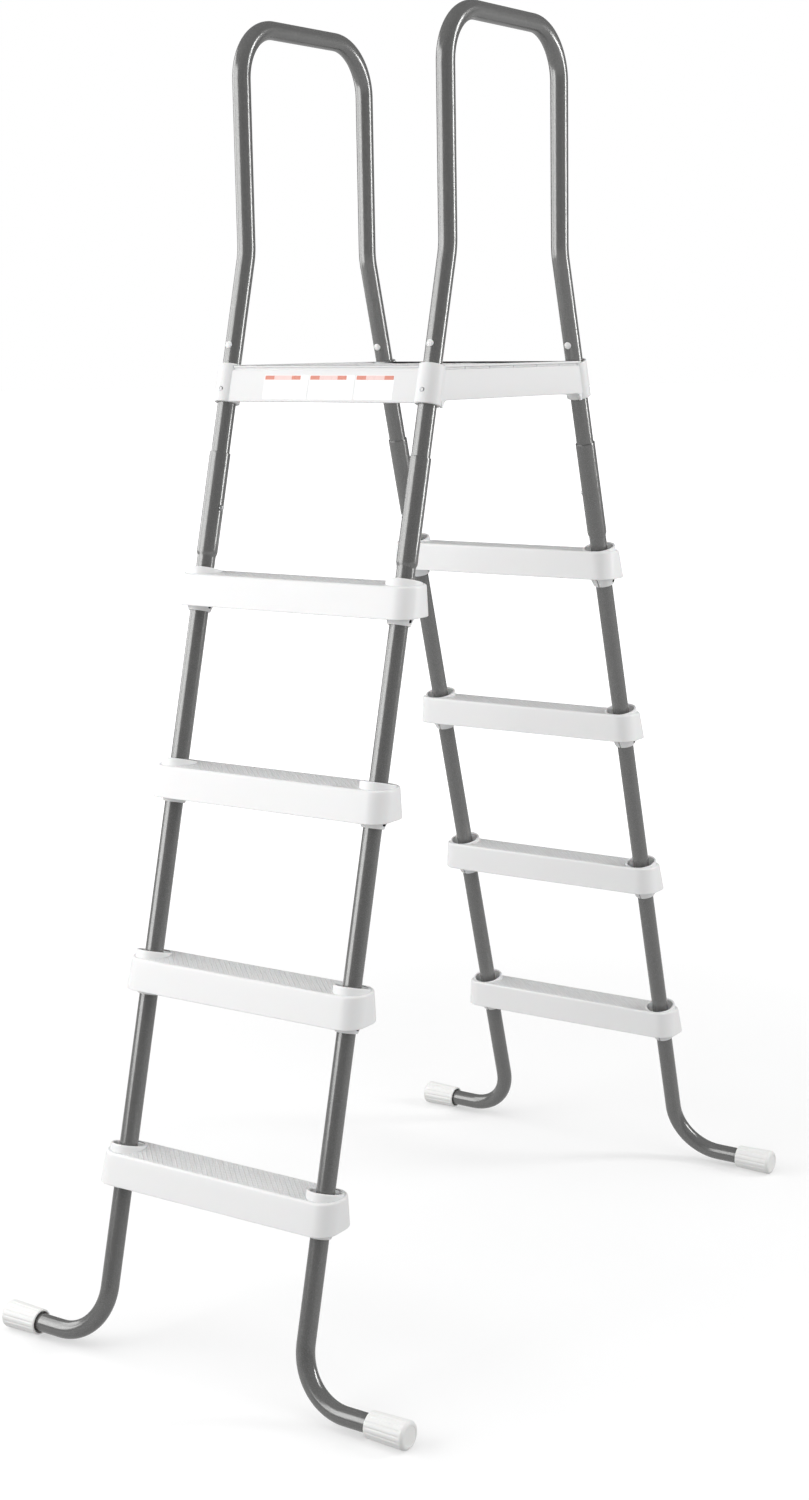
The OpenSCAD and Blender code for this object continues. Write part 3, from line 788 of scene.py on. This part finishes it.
# ---------------------------------------------------------------- blank labels
LABEL_TOP = -16.5
LABEL_H = 33.0
LABEL_LEFT, LABEL_PITCH = -96, 76.0
APRON_FACE = 12.5                                           # the apron's outer face in its end's frame
BAR_TOP, BAR_LOW = LABEL_TOP - 1.0, LABEL_TOP - 6.2
for n, (name, width) in enumerate((("left", 74.0), ("middle", 74.0), ("right", 62.0))):
    x0 = LABEL_LEFT + n * LABEL_PITCH
    b = Build()
    place = end_place(-1)

    def plate(x0, x1, za, zb, y, r, mat):
        outline = round_corners([(x0, za), (x1, za), (x1, zb), (x0, zb)], r, 4)
        v = [(x, APRON_FACE + t, z) for t in (0.02, y) for x, z in outline]
        b.add(v, prism_faces(len(outline), back=False), place, mat)

    plate(x0, x0 + width, LABEL_TOP - LABEL_H, LABEL_TOP, 0.16, 1.5, 0)
    plate(x0 + 1, x0 + 61, LABEL_TOP - 6.6, LABEL_TOP - 0.6, 0.20, 0.8, 2)
    plate(x0 + 1.2, x0 + 16.5, BAR_LOW, BAR_TOP, 0.23, 0.5, 1)
    plate(x0 + 46.0, x0 + 60.8, BAR_LOW, BAR_TOP, 0.23, 0.5, 1)
    b.make("blank_label_" + name, [FILM, BAR_RED, BAR_PALE], stands_for=["label_" + name])

# ---------------------------------------------------------------- small CAD pieces that stay
KEPT = {"platform_washers": ZINC, "platform_nuts": ZINC,
        "hole_plugs_left": WHITE_TRIM, "hole_plugs_right": WHITE_TRIM}
for fb in ("front", "back"):
    for side in ("left", "right"):
        KEPT[f"snap_button_{fb}_{side}"] = ZINC
        KEPT[f"snap_spring_{fb}_{side}"] = ZINC
for node, mat in KEPT.items():
    frame["nodes"][node].data.materials.clear()
    frame["nodes"][node].data.materials.append(mat)

# ---------------------------------------------------------------- floor, light and camera
floor_mat = Nodes("studio_floor")
span = floor_mat.new("ShaderNodeVectorMath", Vector=floor_mat.coords())
span.operation = "LENGTH"
glow = floor_mat.t.nodes.new("ShaderNodeMapRange")
glow.interpolation_type = "SMOOTHSTEP"
for key, value in (("From Min", 0.9), ("From Max", 4.0), ("To Min", 0.40), ("To Max", 1.02)):
    glow.inputs[key].default_value = value
floor_mat.t.links.new(span.outputs["Value"], glow.inputs["Value"])
floor_colour = floor_mat.mix(floor_mat.noise(3, 3, 0.5), (0.55, 0.55, 0.55, 1), (0.57, 0.57, 0.57, 1))
floor_mat.set(Base_Color=floor_colour, Roughness=0.75, Specular_IOR_Level=0.1, Emission_Color=(1, 1, 1, 1),
              Emission_Strength=glow.outputs[0])
bpy.ops.mesh.primitive_circle_add(vertices=96, radius=60, fill_type="NGON", location=(0, 0, 0))
floor = bpy.context.object
floor.name = "studio_floor"
floor.data.materials.append(floor_mat.mat)
floor.visible_diffuse = False                               # the world alone fills the shadows from below
floor.visible_glossy = False

world = bpy.data.worlds.new("studio")
bpy.context.scene.world = world
world.use_nodes = True
wt = world.node_tree
wt.nodes.clear()


def backdrop(strength):
    n = wt.nodes.new("ShaderNodeBackground")
    n.inputs[0].default_value = (1, 1, 1, 1)
    n.inputs[1].default_value = strength
    return n


def choose(ray, other, shader):
    """The shader for one kind of ray, the other shader for the rest."""
    n = wt.nodes.new("ShaderNodeMixShader")
    wt.links.new(rays.outputs[ray], n.inputs[0])
    wt.links.new(other.outputs[0], n.inputs[1])
    wt.links.new(shader.outputs[0], n.inputs[2])
    return n


rays = wt.nodes.new("ShaderNodeLightPath")
height = wt.nodes.new("ShaderNodeSeparateXYZ")
fade = wt.nodes.new("ShaderNodeMapRange")
wt.links.new(wt.nodes.new("ShaderNodeTexCoord").outputs["Generated"], height.inputs[0])
wt.links.new(height.outputs[2], fade.inputs["Value"])
for key, value in (("From Min", -0.20), ("From Max", 0.0), ("To Min", 0.50), ("To Max", 0.16)):
    fade.inputs[key].default_value = value
mirrored = backdrop(1.0)
wt.links.new(fade.outputs[0], mirrored.inputs[1])
lit = choose("Is Glossy Ray", backdrop(0.5), mirrored)
seen = choose("Is Camera Ray", lit, backdrop(1.0))
wt.links.new(seen.outputs[0], wt.nodes.new("ShaderNodeOutputWorld").inputs[0])


def area(name, where, target, size, power, glossy=True):
    """A rectangular softbox aimed at a point; its mirror image can be left out."""
    light = bpy.data.lights.new(name, "AREA")
    light.shape = "RECTANGLE"
    light.size, light.size_y = size
    light.energy = power
    light.spread = PI
    o = bpy.data.objects.new(name, light)
    o.location = where
    o.rotation_mode = "QUATERNION"
    o.rotation_quaternion = (Vector(target) - Vector(where)).to_track_quat("-Z", "Y")
    o.visible_glossy = glossy
    bpy.context.scene.collection.objects.link(o)


area("softbox_front", (-1.75, -2.44, 1.75), (0, 0, 1.1), (2.4, 2.5), 60)
area("softbox_left", (-2.95, -0.54, 2.0), (0, 0, 1.35), (2.2, 2.3), 36)
area("strip_right", (2.35, 1.65, 1.9), (0, 0, 1.4), (0.55, 2.1), 38)
area("top", (0.3, -0.6, 4.2), (0, 0, 0.4), (3.0, 3.0), 29, glossy=False)
area("fill_right", (3.1, -0.7, 1.3), (0, 0, 0.8), (1.6, 2.6), 17, glossy=False)

CAMERA_AT = Vector((1.7549441, -2.5699782, 1.3536267))
YAW, PITCH, ROLL = 0.5631302, -0.1874534, -0.0099326
IMAGE_H = 1500                                              # of the 809 x 1500 image
FOCAL = 2171.8647 / IMAGE_H                                 # against the image's height
SHIFT = -(490.004 - 404.5) / IMAGE_H
SENSOR = 36.0
cam_data = bpy.data.cameras.new("camera")
cam_data.sensor_width = SENSOR
cam_data.lens = FOCAL * SENSOR
cam_data.shift_x = SHIFT
cam_data.clip_start, cam_data.clip_end = 0.05, 300
cam = bpy.data.objects.new("camera", cam_data)
fw = Vector((-SIN(YAW) * COS(PITCH), COS(YAW) * COS(PITCH), SIN(PITCH)))
right = fw.cross(Vector((0, 0, 1))).normalized()
up = right.cross(fw)
r2 = right * COS(ROLL) + up * SIN(ROLL)
u2 = up * COS(ROLL) - right * SIN(ROLL)
cam.matrix_world = Matrix.Translation(CAMERA_AT) @ Matrix(
    ((r2.x, u2.x, -fw.x), (r2.y, u2.y, -fw.y), (r2.z, u2.z, -fw.z))).to_4x4()
bpy.context.scene.collection.objects.link(cam)
bpy.context.scene.camera = cam
bpy.context.scene.view_settings.view_transform = "Standard"
bpy.context.scene.view_settings.look = "None"
